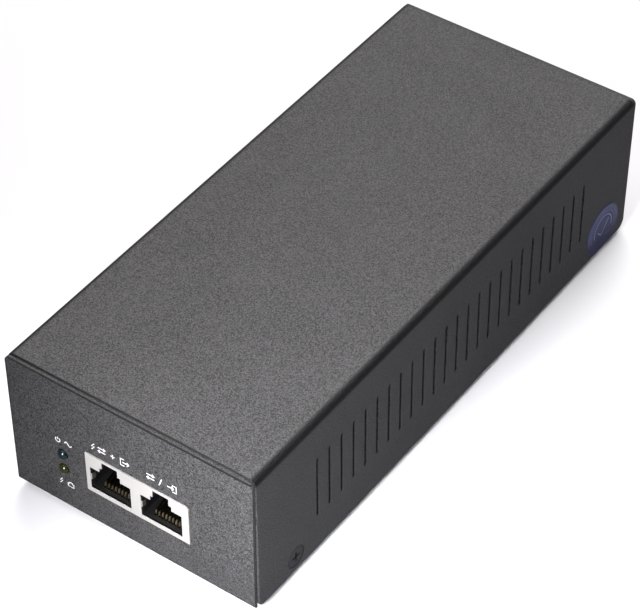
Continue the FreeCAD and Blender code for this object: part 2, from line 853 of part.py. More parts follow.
def bridge_rectifier():
    body = on_board("bridge_rectifier", 18, 4.4, 15, lift=3)
    body = body.makeFillet(0.6, upright_edges(body))
    places = [(-7.5, 0), (-2.5, 0), (2.5, 0), (7.5, 0)]
    return body.multiFuse(legs("bridge_rectifier", places, 1.0, 4)).removeSplitter()


def can_capacitor(x, y, radius, height):
    """An upright can with a rolled groove near its foot and a scored top."""
    groove = 0.4
    can = lathe([
        (0, 0), (radius - 0.5, 0), (radius, 0.5), (radius, 2.4), (radius - groove, 3.0), (radius, 3.6),
        (radius, height - 0.8), (radius - 0.8, height), (0, height)])
    score = [box(-radius * 0.6, radius * 0.6, -0.2, 0.2, height - 0.25, height + 1)]
    score.append(box(-0.2, 0.2, -radius * 0.6, radius * 0.6, height - 0.25, height + 1))
    return place(can.cut(Part.makeCompound(score)), (x, y, board_top))


def bulk_capacitor():
    x, y = board_places["bulk_capacitor"]
    return can_capacitor(x, y, 9.0, 30.0)


def output_capacitors():
    x, y = board_places["output_capacitors"]
    return [can_capacitor(x + step * 11.5, y, 5.0, 20.0) for step in (0, 1)]


def heatsink(name, length, height, foot_side):
    """An upright plate with a short foot and two pins for the board."""
    x, y = board_places[name]
    half = plate_thickness / 2
    near_face = x - half * foot_side
    far_face = x + half * foot_side
    toe = x + 4.9 * foot_side
    low = board_top + 1
    high = board_top + height
    outline = [
        (near_face, low), (toe, low), (toe, low + plate_thickness),
        (far_face, low + plate_thickness), (far_face, high), (near_face, high)]
    plate = plate_xz(outline, y - length / 2, y + length / 2)
    pins = []
    for side in (-1, 1):
        middle = y + side * (length / 2 - 3)
        pins.append(box(x - half, x + half, middle - 1, middle + 1, board_top, board_top + 2))
    drill = rod(1.6, (x - 3, y, board_top + heatsink_screw_level), (1, 0, 0), 6)
    return plate.multiFuse(pins).removeSplitter().cut(drill)


def power_package(name, side):
    """A three-legged power device, its tab against the heatsink's face."""
    x, y = board_places[name]
    face = x + side * plate_thickness / 2
    tab_level = board_top + heatsink_screw_level
    x0, x1 = sorted((face, face + side * 4.4))
    body = box(x0, x1, y - 5, y + 5, tab_level - 12, tab_level - 3)
    x0, x1 = sorted((face, face + side * 1.3))
    tab = box(x0, x1, y - 5, y + 5, tab_level - 12, tab_level + 3.4)
    pins = []
    for k in (-1, 0, 1):
        near_x, far_x = sorted((face + side * 2.2, face + side * 2.8))
        pins.append(box(near_x, far_x, y + k * 2.54 - 0.4, y + k * 2.54 + 0.4, board_top, tab_level - 11))
    drill = rod(1.6, (face - side, y, tab_level), (side, 0, 0), 4)
    return body.multiFuse([tab] + pins).removeSplitter().cut(drill)


def heatsink_screws():
    screw = pan_screw(head=2.7, height=1.8, shank=1.45, length=6.0)
    pieces = []
    for name, side in (("primary_heatsink", -1), ("secondary_heatsink", 1)):
        x, y = board_places[name]
        seat = x + side * (plate_thickness / 2 + 1.3)
        pieces.append(place(screw, (seat, y, board_top + heatsink_screw_level), (side, 0, 0)))
    return pieces


def transformer_core():
    """Two E-shaped ferrite halves that meet round the winding."""
    x, y = board_places["transformer"]
    low = board_top + 4
    wide = transformer_size["width"] / 2
    deep = 7.0
    tall = transformer_size["height"]
    leg = transformer_size["leg"]
    block = box(x - wide, x + wide, y - deep, y + deep, low, low + tall)
    windows = []
    for side in (-1, 1):
        inner, outer = sorted((x + side * 4.0, x + side * (wide - leg + 1)))
        windows.append(box(inner, outer, y - deep - 1, y + deep + 1, low + leg, low + tall - leg))
    return block.cut(Part.makeCompound(windows))


def transformer_winding():
    """The wound and taped coil round the core's middle leg."""
    x, y = board_places["transformer"]
    low = board_top + 4 + transformer_size["leg"] + 0.4
    high = board_top + 4 + transformer_size["height"] - transformer_size["leg"] - 0.4
    coil = box(x - 7.6, x + 7.6, y - 11.5, y + 11.5, low, high)
    coil = coil.makeFillet(3.5, upright_edges(coil))
    core_leg = box(x - 4.2, x + 4.2, y - 7.2, y + 7.2, low - 1, high + 1)
    return coil.cut(core_leg)


def transformer_bobbin():
    """The moulded foot under the core with its row of pins on each side."""
    x, y = board_places["transformer"]
    half_wide = transformer_size["width"] / 2
    half_deep = transformer_size["depth"] / 2
    low = board_top + 1.5
    body = box(x - half_wide, x + half_wide, y - half_deep, y + half_deep, low, board_top + 4)
    pins = []
    for side in (-1, 1):
        for k in range(5):
            spot = (x + (k - 2) * 4.5, y + side * (half_deep - 1.5), board_top)
            pins.append(rod(0.5, spot, (0, 0, 1), 2))
    return body.multiFuse(pins).removeSplitter()


def chip(name, width, depth, height, pins_per_side, pitch):
    """A small moulded package with bent feet along two sides."""
    x, y = board_places[name]
    body = on_board(name, width, depth, height, lift=0.15)
    feet = []
    for side in (-1, 1):
        for k in range(pins_per_side):
            py = y + (k - (pins_per_side - 1) / 2) * pitch
            x0, x1 = sorted((x + side * (width / 2 - 0.3), x + side * (width / 2 + 1.0)))
            feet.append(box(x0, x1, py - 0.2, py + 0.2, board_top, board_top + 0.5))
    return body.multiFuse(feet).removeSplitter()


def line_magnetics():
    """Two signal transformer modules behind the jack."""
    x, y = board_places["line_magnetics"]
    modules = []
    for side in (-1, 1):
        centre = x + side * 9
        body = box(centre - 7.5, centre + 7.5, y - 6.5, y + 6.5, board_top + 0.2, board_top + 6)
        body = body.makeFillet(0.5, upright_edges(body))
        feet = []
        for k in range(12):
            px = centre + (k - 5.5) * 1.2
            feet.append(box(px - 0.25, px + 0.25, y - 8, y + 8, board_top, board_top + 0.5))
        modules.append(body.multiFuse(feet).removeSplitter())
    return modules


def chip_parts():
    """Small surface-mounted parts in loose rows beside the controllers."""
    pieces = []
    rows = ((-24, -58, 3), (-8, -29, 4), (16, -27, 6), (20, 12, 3), (-27, -24, 3))
    for row, (x, y, count) in enumerate(rows):
        for k in range(count):
            px = x + k * 3.0
            half_y = 0.65 + 0.15 * (row % 2)
            pieces.append(box(px - 1.0, px + 1.0, y - half_y, y + half_y, board_top, board_top + 0.6))
    return pieces


def save(name, shape):
    solids = shape if isinstance(shape, list) else [shape]
    group = Part.makeCompound(solids) if len(solids) > 1 else solids[0]
    group.exportStep("parts/" + name + ".step")
    state = "valid" if group.isValid() else "INVALID"
    print(name, len(group.Solids), "solids", round(group.Volume, 1), "mm3", state)


def main():
    os.makedirs("parts", exist_ok=True)
    fuse_tube, fuse_caps = fuse_parts()
    nodes = {
        "cover": cover(),
        "base_pan": base_pan(),
        "cover_screws": cover_screws(),
        "rubber_feet": rubber_feet(),
        "seal_sticker": seal_sticker(),
        "standoffs": standoffs(),
        "insulating_film": insulating_film(),
        "main_board": main_board(),
        "board_screws": board_screws(),
        "jack_shield": jack_shield(),
        "jack_housing": jack_housing(),
        "jack_contacts": jack_contacts(),
        "lamp_power": lamp(lamp_heights[0]),
        "lamp_supply": lamp(lamp_heights[1]),
        "lamp_holder": lamp_holder(),
        "inlet_housing": inlet_housing(),
        "inlet_blades": blade_solids(),
        "inlet_earth_blade": earth_blade(),
        "inlet_screws": inlet_screws(),
        "inlet_nuts": inlet_nuts(),
        "earth_screw": earth_screw(),
        "earth_washer": earth_washer(),
        "earth_nut": earth_nut(),
        "earth_lug": earth_lug(),
        "tab_sleeves": tab_sleeves(),
        "line_wire": supply_wire(-1),
        "neutral_wire": supply_wire(1),
        "earth_wire": earth_wire(),
        "terminal_block": terminal_block(),
        "fuse_tube": fuse_tube,
        "fuse_caps": fuse_caps,
        "varistor": disc_part("varistor", 6.0, 4.4, 2.5),
        "thermistor": disc_part("thermistor", 5.0, 4.0, 2.5),
        "x_capacitor": x_capacitor(),
        "choke_core": toroid_core("choke", **choke_size),
        "choke_windings": toroid_windings(
            "choke", wire=0.9, spans=((-60, 9, 15), (120, 9, 15)), **choke_size),
        "bridge_rectifier": bridge_rectifier(),
        "bulk_capacitor": bulk_capacitor(),
        "primary_heatsink": heatsink("primary_heatsink", 34, 27, 1),
        "switching_transistor": power_package("primary_heatsink", -1),
        "secondary_heatsink": heatsink("secondary_heatsink", 26, 27, -1),
        "output_rectifier": power_package("secondary_heatsink", 1),
        "heatsink_screws": heatsink_screws(),
        "transformer_core": transformer_core(),
        "transformer_winding": transformer_winding(),
        "transformer_bobbin": transformer_bobbin(),
        "y_capacitor": disc_part("y_capacitor", 4.0, 3.6, 2.5),
        "optocoupler": chip("optocoupler", 6.4, 4.6, 3.4, 2, 2.54),
        "control_chip": chip("control_chip", 3.9, 4.9, 1.5, 4, 1.27),
        "output_capacitors": output_capacitors(),
        "inductor_core": toroid_core("inductor", **inductor_size),
        "inductor_winding": toroid_windings("inductor", wire=1.0, spans=((0, 14, 22),), **inductor_size),
        "line_magnetics": line_magnetics(),
        "power_controller": chip("power_controller", 7.5, 10.3, 2.4, 8, 1.27),
        "chip_parts": chip_parts(),
    }
    for name, shape in nodes.items():
        save(name, shape)


main()
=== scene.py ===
import json
import math
import bpy
import bmesh
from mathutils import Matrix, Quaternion, Vector


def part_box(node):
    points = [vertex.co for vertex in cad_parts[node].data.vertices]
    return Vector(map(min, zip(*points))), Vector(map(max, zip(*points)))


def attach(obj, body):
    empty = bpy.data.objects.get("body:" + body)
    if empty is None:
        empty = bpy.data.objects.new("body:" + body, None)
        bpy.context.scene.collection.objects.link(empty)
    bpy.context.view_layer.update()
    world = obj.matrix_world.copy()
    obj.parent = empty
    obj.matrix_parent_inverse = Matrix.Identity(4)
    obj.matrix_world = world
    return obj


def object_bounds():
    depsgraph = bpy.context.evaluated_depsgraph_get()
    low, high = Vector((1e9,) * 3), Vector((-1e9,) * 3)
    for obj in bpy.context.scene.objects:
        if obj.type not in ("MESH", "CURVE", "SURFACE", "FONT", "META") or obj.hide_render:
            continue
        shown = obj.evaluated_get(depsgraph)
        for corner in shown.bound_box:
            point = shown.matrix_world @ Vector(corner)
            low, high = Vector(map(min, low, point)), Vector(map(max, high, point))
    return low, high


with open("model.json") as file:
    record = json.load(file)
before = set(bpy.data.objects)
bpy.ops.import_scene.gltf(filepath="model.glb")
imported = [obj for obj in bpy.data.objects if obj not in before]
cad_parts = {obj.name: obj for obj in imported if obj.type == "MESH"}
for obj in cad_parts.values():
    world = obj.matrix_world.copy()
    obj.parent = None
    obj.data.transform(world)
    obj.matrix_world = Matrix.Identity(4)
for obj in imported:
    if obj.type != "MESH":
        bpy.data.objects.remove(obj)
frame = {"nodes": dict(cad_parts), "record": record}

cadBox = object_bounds()
mm = 0.001
scene = bpy.context.scene
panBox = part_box("base_pan")
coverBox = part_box("cover")
print("frame loaded:", len(frame["nodes"]), "nodes")


# Camera: a long lens looking down at the port end from its right

cameraSetup = {
    "azimuth": 35.880,
    "elevation": 43.564,
    "roll": -0.3915,
    "distance": 0.68258,
    "aim": (-0.00126, -0.00565, 0.01958),
    "lens": 149.318,
    "sensor": 36.0,
    "clip": (0.01, 20.0),
}


def addCamera(values):
    azimuth = math.radians(values["azimuth"])
    elevation = math.radians(values["elevation"])
    away = Vector((
        math.sin(azimuth) * math.cos(elevation),
        -math.cos(azimuth) * math.cos(elevation),
        math.sin(elevation)))
    data = bpy.data.cameras.new("camera")
    data.lens = values["lens"]
    data.sensor_width = values["sensor"]
    data.clip_start, data.clip_end = values["clip"]
    camera = bpy.data.objects.new("camera", data)
    camera.location = Vector(values["aim"]) + away * values["distance"]
    tilt = Quaternion((0, 0, 1), math.radians(values["roll"]))
    camera.rotation_euler = ((-away).to_track_quat("-Z", "Y") @ tilt).to_euler()
    scene.collection.objects.link(camera)
    scene.camera = camera


addCamera(cameraSetup)


# Studio: a pale floor, a broad light behind, another overhead, a small one close to the
# ports, and a dim room. The floor shows floorColour to the camera but throws the darker
# bounceColour back onto the case.

studio = {
    "floorColour": (0.86, 0.86, 0.87),
    "floorSize": 12.0,
    "floorRoughness": 0.9,
    "skyColour": (0.93, 0.94, 0.96),
    "roomLight": 0.20,
    "bounceColour": (0.26, 0.26, 0.28),
    "lights": {
        "backSoft": {
            "place": (-0.45, 0.95, 1.2), "aim": (0, 0, 0.03), "size": (1.1, 0.9),
            "power": 20.0, "colour": (1.0, 0.965, 0.97), "spread": 180.0},
        "frontSoft": {
            "place": (0.055, -0.22, 0.12), "aim": (0.045, -0.085, 0.03), "size": (0.09, 0.09),
            "power": 0.17, "colour": (0.965, 0.96, 1.0), "spread": 60.0},
        "topFill": {
            "place": (0.0, 0.1, 1.6), "aim": (0, 0, 0), "size": (1.8, 1.8),
            "power": 14.0, "colour": (1.0, 1.0, 1.0), "spread": 180.0},
    },
}


def addStudio(values):
    half = values["floorSize"] / 2
    mesh = bpy.data.meshes.new("floor")
    corners = [(-half, -half, 0), (half, -half, 0), (half, half, 0), (-half, half, 0)]
    mesh.from_pydata(corners, [], [(0, 1, 2, 3)])
    floor = bpy.data.objects.new("floor", mesh)
    floor.location.z = cadBox[0][2]
    scene.collection.objects.link(floor)
    material, tree, shader = startMaterial("paleFloor")
    seenDirectly = addNode(tree, "ShaderNodeLightPath").outputs["Is Camera Ray"]
    colour = mixColour(tree, seenDirectly, values["bounceColour"], values["floorColour"])
    tree.links.new(colour, shader.inputs["Base Color"])
    shader.inputs["Roughness"].default_value = values["floorRoughness"]
    mesh.materials.append(material)

    world = bpy.data.worlds.new("room")
    world.use_nodes = True
    scene.world = world
    nodes, links = world.node_tree.nodes, world.node_tree.links
    nodes.clear()
    output = nodes.new("ShaderNodeOutputWorld")
    seen = nodes.new("ShaderNodeBackground")
    seen.inputs["Color"].default_value = (*values["skyColour"], 1)
    unseen = nodes.new("ShaderNodeBackground")
    unseen.inputs["Color"].default_value = (*values["skyColour"], 1)
    unseen.inputs["Strength"].default_value = values["roomLight"]
    path = nodes.new("ShaderNodeLightPath")
    mix = nodes.new("ShaderNodeMixShader")
    links.new(path.outputs["Is Camera Ray"], mix.inputs[0])
    links.new(unseen.outputs[0], mix.inputs[1])
    links.new(seen.outputs[0], mix.inputs[2])
    links.new(mix.outputs[0], output.inputs["Surface"])

    for name, spot in values["lights"].items():
        data = bpy.data.lights.new(name, "AREA")
        data.shape = "RECTANGLE"
        data.size, data.size_y = spot["size"]
        data.energy = spot["power"]
        data.color = spot["colour"]
        data.spread = math.radians(spot["spread"])
        lamp = bpy.data.objects.new(name, data)
        lamp.location = spot["place"]
        towards = Vector(spot["aim"]) - Vector(spot["place"])
        lamp.rotation_euler = towards.to_track_quat("-Z", "Y").to_euler()
        scene.collection.objects.link(lamp)
    scene.view_settings.view_transform = "Standard"


# Node helpers

def startMaterial(name):
    material = bpy.data.materials.new(name)
    material.use_nodes = True
    tree = material.node_tree
    tree.nodes.clear()
    output = tree.nodes.new("ShaderNodeOutputMaterial")
    shader = tree.nodes.new("ShaderNodeBsdfPrincipled")
    tree.links.new(shader.outputs[0], output.inputs["Surface"])
    return material, tree, shader


# Makes a node; links sockets that are given as sockets, and sets the rest.
def addNode(tree, kind, settings=None, **inputs):
    node = tree.nodes.new(kind)
    for key, value in (settings or {}).items():
        setattr(node, key, value)
    for key, value in inputs.items():
        numbered = key[0] == "i" and key[1:].isdigit()
        socket = node.inputs[int(key[1:]) if numbered else key.replace("_", " ")]
        if isinstance(value, bpy.types.NodeSocket):
            tree.links.new(value, socket)
        else:
            socket.default_value = value
    return node


def mathNode(tree, operation, first, second=0.0, clamp=False):
    settings = {"operation": operation, "use_clamp": clamp}
    return addNode(tree, "ShaderNodeMath", settings, i0=first, i1=second).outputs[0]


def rangeNode(tree, value, low, high, toLow=0.0, toHigh=1.0, smooth=False):
    kind = "SMOOTHSTEP" if smooth else "LINEAR"
    node = addNode(tree, "ShaderNodeMapRange", {"interpolation_type": kind, "clamp": True}, i0=value)
    for index, number in zip((1, 2, 3, 4), (low, high, toLow, toHigh)):
        node.inputs[index].default_value = number
    return node.outputs[0]


# The middle of a noise, 0.3 to 0.7, spread over the range that is given.
def midRange(tree, value, low=0.0, high=1.0):
    return rangeNode(tree, value, 0.3, 0.7, low, high)


def mixColour(tree, factor, first, second):
    node = addNode(tree, "ShaderNodeMix", {"data_type": "RGBA"})
    for index, value in ((0, factor), (6, first), (7, second)):
        if isinstance(value, bpy.types.NodeSocket):
            tree.links.new(value, node.inputs[index])
        else:
            node.inputs[index].default_value = value if index == 0 else (*value[:3], 1)
    return node.outputs[2]


# Distance in the plane of the side wall from a point that is given as y and z.
def distanceFrom(tree, along, up, centreY, centreZ):
    dy = mathNode(tree, "SUBTRACT", along, centreY)
    dz = mathNode(tree, "SUBTRACT", up, centreZ)
    squares = [mathNode(tree, "MULTIPLY", offset, offset) for offset in (dy, dz)]
    return mathNode(tree, "SQRT", mathNode(tree, "ADD", *squares))


def startGroup(name, inputs, outputs):
    tree = bpy.data.node_groups.new(name, "ShaderNodeTree")
    for title, value in inputs.items():
        socket = tree.interface.new_socket(name=title, in_out="INPUT", socket_type="NodeSocketFloat")
        socket.default_value = value
    for title in outputs:
        tree.interface.new_socket(name=title, in_out="OUTPUT", socket_type="NodeSocketFloat")
    return tree, tree.nodes.new("NodeGroupInput"), tree.nodes.new("NodeGroupOutput")


def useGroup(tree, group, **inputs):
    node = tree.nodes.new("ShaderNodeGroup")
    node.node_tree = group
    for title, value in inputs.items():
        node.inputs[title].default_value = value
    return node


def place(tree):
    return addNode(tree, "ShaderNodeTexCoord").outputs["Object"]


# Shared effects

# The pebbled skin of a baked powder coat. Size is one pebble in millimetres.
def makePowderGrain():
    tree, given, made = startGroup("powderGrain", {"Size": 0.35}, ["Height", "Tone"])
    scale = mathNode(tree, "DIVIDE", 1000.0, given.outputs["Size"])
    where = place(tree)
    pebble = addNode(
        tree, "ShaderNodeTexNoise", None, Vector=where, Scale=scale, Detail=2.0, Roughness=0.6)
    cells = addNode(
        tree, "ShaderNodeTexVoronoi", {"feature": "SMOOTH_F1"}, Vector=where,
        Scale=mathNode(tree, "MULTIPLY", scale, 0.7), Smoothness=0.6)
    broad = addNode(tree, "ShaderNodeTexNoise", None, Vector=where, Scale=45.0, Detail=3.0)
    dimple = mathNode(tree, "MULTIPLY", cells.outputs["Distance"], -0.6)
    fine = mathNode(tree, "MULTIPLY", pebble.outputs[0], 0.94)
    cloud = mathNode(tree, "MULTIPLY", broad.outputs[0], 0.06)
    tree.links.new(mathNode(tree, "ADD", pebble.outputs[0], dimple), made.inputs["Height"])
    tree.links.new(mathNode(tree, "ADD", fine, cloud), made.inputs["Tone"])
    return tree


# Smudges and fine scratches left by handling: a value that shifts roughness, and a scratch mask.
def makeHandling():
    inputs = {"Spread": 60.0, "Amount": 0.1, "Scratches": 0.3}
    tree, given, made = startGroup("handling", inputs, ["Shift", "Scratch"])
    where = place(tree)
    cloud = addNode(
        tree, "ShaderNodeTexNoise", None, Vector=where, Scale=given.outputs["Spread"],
        Detail=4.0, Roughness=0.65)
    centred = mathNode(tree, "SUBTRACT", cloud.outputs[0], 0.5)
    stretch = addNode(
        tree, "ShaderNodeMapping", None, Vector=where, Scale=(2400.0, 160.0, 900.0),
        Rotation=(0.4, 0.2, 0.7))
    lines = addNode(tree, "ShaderNodeTexNoise", None, Vector=stretch.outputs[0], Scale=1.0, Detail=1.0)
    scratch = rangeNode(tree, lines.outputs[0], 0.68, 0.74)
    shift = mathNode(tree, "MULTIPLY", centred, given.outputs["Amount"])
    tree.links.new(shift, made.inputs["Shift"])
    marks = mathNode(tree, "MULTIPLY", scratch, given.outputs["Scratches"])
    tree.links.new(marks, made.inputs["Scratch"])
    return tree


# The fine even texture of moulded plastic, rubber or satin plating.
def makeFineGrain():
    tree, given, made = startGroup("fineGrain", {"Size": 0.12}, ["Height", "Tone"])
    scale = mathNode(tree, "DIVIDE", 1000.0, given.outputs["Size"])
    where = place(tree)
    grain = addNode(
        tree, "ShaderNodeTexNoise", None, Vector=where, Scale=scale, Detail=2.0, Roughness=0.55)
    slow = mathNode(tree, "MULTIPLY", scale, 0.02)
    flow = addNode(tree, "ShaderNodeTexNoise", None, Vector=where, Scale=slow, Detail=3.0)
    tree.links.new(grain.outputs[0], made.inputs["Height"])
    tree.links.new(flow.outputs[0], made.inputs["Tone"])
    return tree


powderGrain = makePowderGrain()
handling = makeHandling()
fineGrain = makeFineGrain()


# depth is the relief in millimetres for a height of one.
def addBump(tree, shader, height, strength, depth):
    bump = addNode(
        tree, "ShaderNodeBump", None, Height=height, Strength=strength, Distance=depth * mm)
    tree.links.new(bump.outputs[0], shader.inputs["Normal"])


# Case: near-black powder coat on steel sheet. Painted shade darkens it where it wraps the folds, the
# top's cut ends and the rims of the end panels, in place of dark reflections and shadowed gaps.

caseCoat = {
    "colour": (0.004, 0.004, 0.004),
    "pale": (0.098, 0.0965, 0.0975),
    # the near-black colour of the painted shade on the folds, cut ends and rims
    "edgeShadeColour": (0.0015, 0.0015, 0.002),
    "roughness": 0.48,
    "specular": 0.34,
    "grainSize": 0.33,
    "toneRange": (0.35, 0.67),     # grain values that give the colour and the pale colour
    "toneRoughness": 0.08,
    "bump": 0.8,
    "relief": 0.22,
    "wear": {"Spread": 38.0, "Amount": 0.12, "Scratches": 0.12},
    # how far the painted shade reaches from the folds and from the rims, in millimetres
    "foldShadeReach": 2.3,
    "rimShadeReach": 0.45,
    "screwJoint": (0.30, 0.55),    # dark out to the first, faded by the second
}


# Rises from zero at reach (in millimetres) inside a limit (in metres) to one halfway there
def nearLimit(tree, value, limit, reach, smooth=False):
    return rangeNode(tree, value, limit - reach * mm, limit - reach / 2 * mm, smooth=smooth)


# Painted shade on the cover: dark along its folds, its top's cut ends and round the screw heads
def coverShadedEdges(tree, values):
    corner = addNode(tree, "ShaderNodeSeparateXYZ", None, Vector=place(tree)).outputs
    across = mathNode(tree, "ABSOLUTE", corner["X"])
    along = mathNode(tree, "ABSOLUTE", corner["Y"])
    right, end, top = coverBox[1]
    fold = mathNode(
        tree, "MINIMUM",
        nearLimit(tree, across, right, values["foldShadeReach"], smooth=True),
        nearLimit(tree, corner["Z"], top, values["foldShadeReach"], smooth=True))
    rim = mathNode(
        tree, "MINIMUM",
        nearLimit(tree, corner["Z"], top, values["rimShadeReach"]),
        nearLimit(tree, along, end, values["rimShadeReach"]))
    ring = screwRing(tree, corner, values["screwJoint"])
    return mathNode(tree, "MAXIMUM", mathNode(tree, "MAXIMUM", fold, rim), ring)


# The shadowed joint round each countersunk head
def screwRing(tree, corner, joint):
    low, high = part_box("cover_screws")
    radius = (high[2] - low[2]) / 2
    along = mathNode(tree, "ABSOLUTE", corner["Y"])
    out = distanceFrom(tree, along, corner["Z"], high[1] - radius, (low[2] + high[2]) / 2)
    near, far = [radius + part * mm for part in joint]
    return rangeNode(tree, out, near, far, 1.0, 0.0)


# Painted shade on the end panels: a dark line along their left, top and bottom rims, on their outer
# faces
def panelShadedEdges(tree, values):
    corner = addNode(tree, "ShaderNodeSeparateXYZ", None, Vector=place(tree)).outputs
    along = mathNode(tree, "ABSOLUTE", corner["Y"])
    leftwards = mathNode(tree, "MULTIPLY", corner["X"], -1.0)
    downwards = mathNode(tree, "MULTIPLY", corner["Z"], -1.0)
    low, high = panBox
    rim = mathNode(
        tree, "MAXIMUM",
        nearLimit(tree, leftwards, -low[0], values["rimShadeReach"]),
        nearLimit(tree, corner["Z"], high[2], values["rimShadeReach"]))
    rim = mathNode(tree, "MAXIMUM", rim, nearLimit(tree, downwards, -low[2], values["rimShadeReach"]))
    skin = nearLimit(tree, along, high[1], values["rimShadeReach"])
    return mathNode(tree, "MINIMUM", rim, skin)


def caseMaterial(name, values, findShadedEdges):
    material, tree, shader = startMaterial(name)
    grain = useGroup(tree, powderGrain, Size=values["grainSize"])
    wear = useGroup(tree, handling, **values["wear"])
    tone = rangeNode(tree, grain.outputs["Tone"], *values["toneRange"])
    colour = mixColour(tree, tone, values["colour"], values["pale"])
    # painted shade laid over the coat's colour at its folds and rims
    colour = mixColour(tree, findShadedEdges(tree, values), colour, values["edgeShadeColour"])
    tree.links.new(colour, shader.inputs["Base Color"])
    rough = mathNode(tree, "ADD", wear.outputs["Shift"], values["roughness"])
    uneven = mathNode(tree, "MULTIPLY", grain.outputs["Tone"], values["toneRoughness"])
    tree.links.new(mathNode(tree, "ADD", rough, uneven), shader.inputs["Roughness"])
    shader.inputs["Specular IOR Level"].default_value = values["specular"]
    addBump(tree, shader, grain.outputs["Height"], values["bump"], values["relief"])
    return material


# Plain finishes: metals, mouldings and coatings that differ only in their values

finishes = {
    "black_zinc": {
        "colour": (0.011, 0.011, 0.012), "metallic": 0.3, "roughness": 0.42,
        "grain": 0.10, "relief": 0.010, "tone": 0.5, "wear": 0.25},
    "bright_steel": {
        "colour": (0.60, 0.60, 0.58), "metallic": 1.0, "roughness": 0.30,
        "grain": 0.08, "relief": 0.006, "tone": 0.15, "wear": 0.30},
    "tinned_copper": {
        "colour": (0.72, 0.70, 0.67), "metallic": 1.0, "roughness": 0.34,
        "grain": 0.15, "relief": 0.010, "tone": 0.15, "wear": 0.25},
    "blade_plating": {
        "colour": (0.74, 0.73, 0.70), "metallic": 1.0, "roughness": 0.20,
        "grain": 0.10, "relief": 0.004, "tone": 0.10, "wear": 0.35},
    "black_plastic": {
        "colour": (0.004, 0.004, 0.0045), "metallic": 0.0, "roughness": 0.50,
        "grain": 0.10, "relief": 0.014, "tone": 0.40, "wear": 0.15},
    "package_black": {
        "colour": (0.018, 0.018, 0.019), "metallic": 0.0, "roughness": 0.55,
        "grain": 0.06, "relief": 0.010, "tone": 0.30, "wear": 0.10},
    "terminal_green": {
        "colour": (0.05, 0.32, 0.13), "metallic": 0.0, "roughness": 0.40,
        "grain": 0.10, "relief": 0.008, "tone": 0.20, "wear": 0.10},
    "sleeve_nylon": {
        "colour": (0.62, 0.65, 0.68), "metallic": 0.0, "roughness": 0.35,
        "grain": 0.15, "relief": 0.006, "tone": 0.15, "wear": 0.10},
    "box_yellow": {
        "colour": (0.70, 0.48, 0.05), "metallic": 0.0, "roughness": 0.38,
        "grain": 0.12, "relief": 0.008, "tone": 0.15, "wear": 0.12},
    "wire_brown": {
        "colour": (0.16, 0.07, 0.035), "metallic": 0.0, "roughness": 0.32,
        "grain": 0.25, "relief": 0.010, "tone": 0.20, "wear": 0.10},
    "wire_blue": {
        "colour": (0.03, 0.12, 0.45), "metallic": 0.0, "roughness": 0.32,
        "grain": 0.25, "relief": 0.010, "tone": 0.20, "wear": 0.10},
    "disc_blue": {
        "colour": (0.02, 0.09, 0.42), "metallic": 0.0, "roughness": 0.24,
        "grain": 0.70, "relief": 0.040, "tone": 0.20, "wear": 0.10},
    "disc_black": {
        "colour": (0.015, 0.015, 0.016), "metallic": 0.0, "roughness": 0.26,
        "grain": 0.70, "relief": 0.040, "tone": 0.20, "wear": 0.10},
    "core_green": {
        "colour": (0.04, 0.24, 0.11), "metallic": 0.0, "roughness": 0.30,
        "grain": 0.60, "relief": 0.030, "tone": 0.20, "wear": 0.10},
    "enamel_copper": {
        "colour": (0.45, 0.15, 0.045), "metallic": 0.75, "roughness": 0.25,
        "grain": 0.20, "relief": 0.008, "tone": 0.25, "wear": 0.15},
    "ferrite": {
        "colour": (0.055, 0.055, 0.058), "metallic": 0.1, "roughness": 0.60,
        "grain": 0.25, "relief": 0.030, "tone": 0.35, "wear": 0.20},
    "chip_ceramic": {
        "colour": (0.26, 0.18, 0.12), "metallic": 0.0, "roughness": 0.45,
        "grain": 0.10, "relief": 0.006, "tone": 0.35, "wear": 0.10},
    "foot_rubber": {
        "colour": (0.018, 0.018, 0.018), "metallic": 0.0, "roughness": 0.80,
        "grain": 0.22, "relief": 0.050, "tone": 0.45, "wear": 0.20},
    "legendInk": {
        "colour": (0.83, 0.83, 0.84), "metallic": 0.0, "roughness": 0.55,
        "grain": 0.12, "relief": 0.006, "tone": 0.06, "wear": 0.05},
    "sealInk": {
        "colour": (0.24, 0.27, 0.46), "metallic": 0.0, "roughness": 0.35,
        "grain": 0.12, "relief": 0.004, "tone": 0.20, "wear": 0.10},
    "dieMetal": {
        "colour": (0.80, 0.78, 0.70), "metallic": 1.0, "roughness": 0.25,
        "grain": 0.08, "relief": 0.004, "tone": 0.10, "wear": 0.10},
}


# What every plain finish shares: swing is how far a tone of one moves the colour
plainLook = {
    "swing": 0.6, "smudge": 150.0, "bump": 0.7, "scratchGain": 1.5, "scratchLift": 0.01}


def plainMaterial(name, values, look):
    material, tree, shader = startMaterial(name)
    grain = useGroup(tree, fineGrain, Size=values["grain"])
    wear = useGroup(
        tree, handling, Spread=look["smudge"], Amount=values["wear"], Scratches=values["wear"])
    deep = [part * (1 - values["tone"] * look["swing"]) for part in values["colour"]]
    pale = [min(1.0, part * (1 + values["tone"] * look["swing"])) for part in values["colour"]]
    colour = mixColour(tree, midRange(tree, grain.outputs["Tone"]), deep, pale)
    worn = [min(1.0, part * look["scratchGain"] + look["scratchLift"]) for part in values["colour"]]
    colour = mixColour(tree, wear.outputs["Scratch"], colour, worn)
    tree.links.new(colour, shader.inputs["Base Color"])
    rough = mathNode(tree, "ADD", wear.outputs["Shift"], values["roughness"], clamp=True)
    tree.links.new(rough, shader.inputs["Roughness"])
    shader.inputs["Metallic"].default_value = values["metallic"]
    addBump(tree, shader, grain.outputs["Height"], look["bump"], values["relief"])
    return material
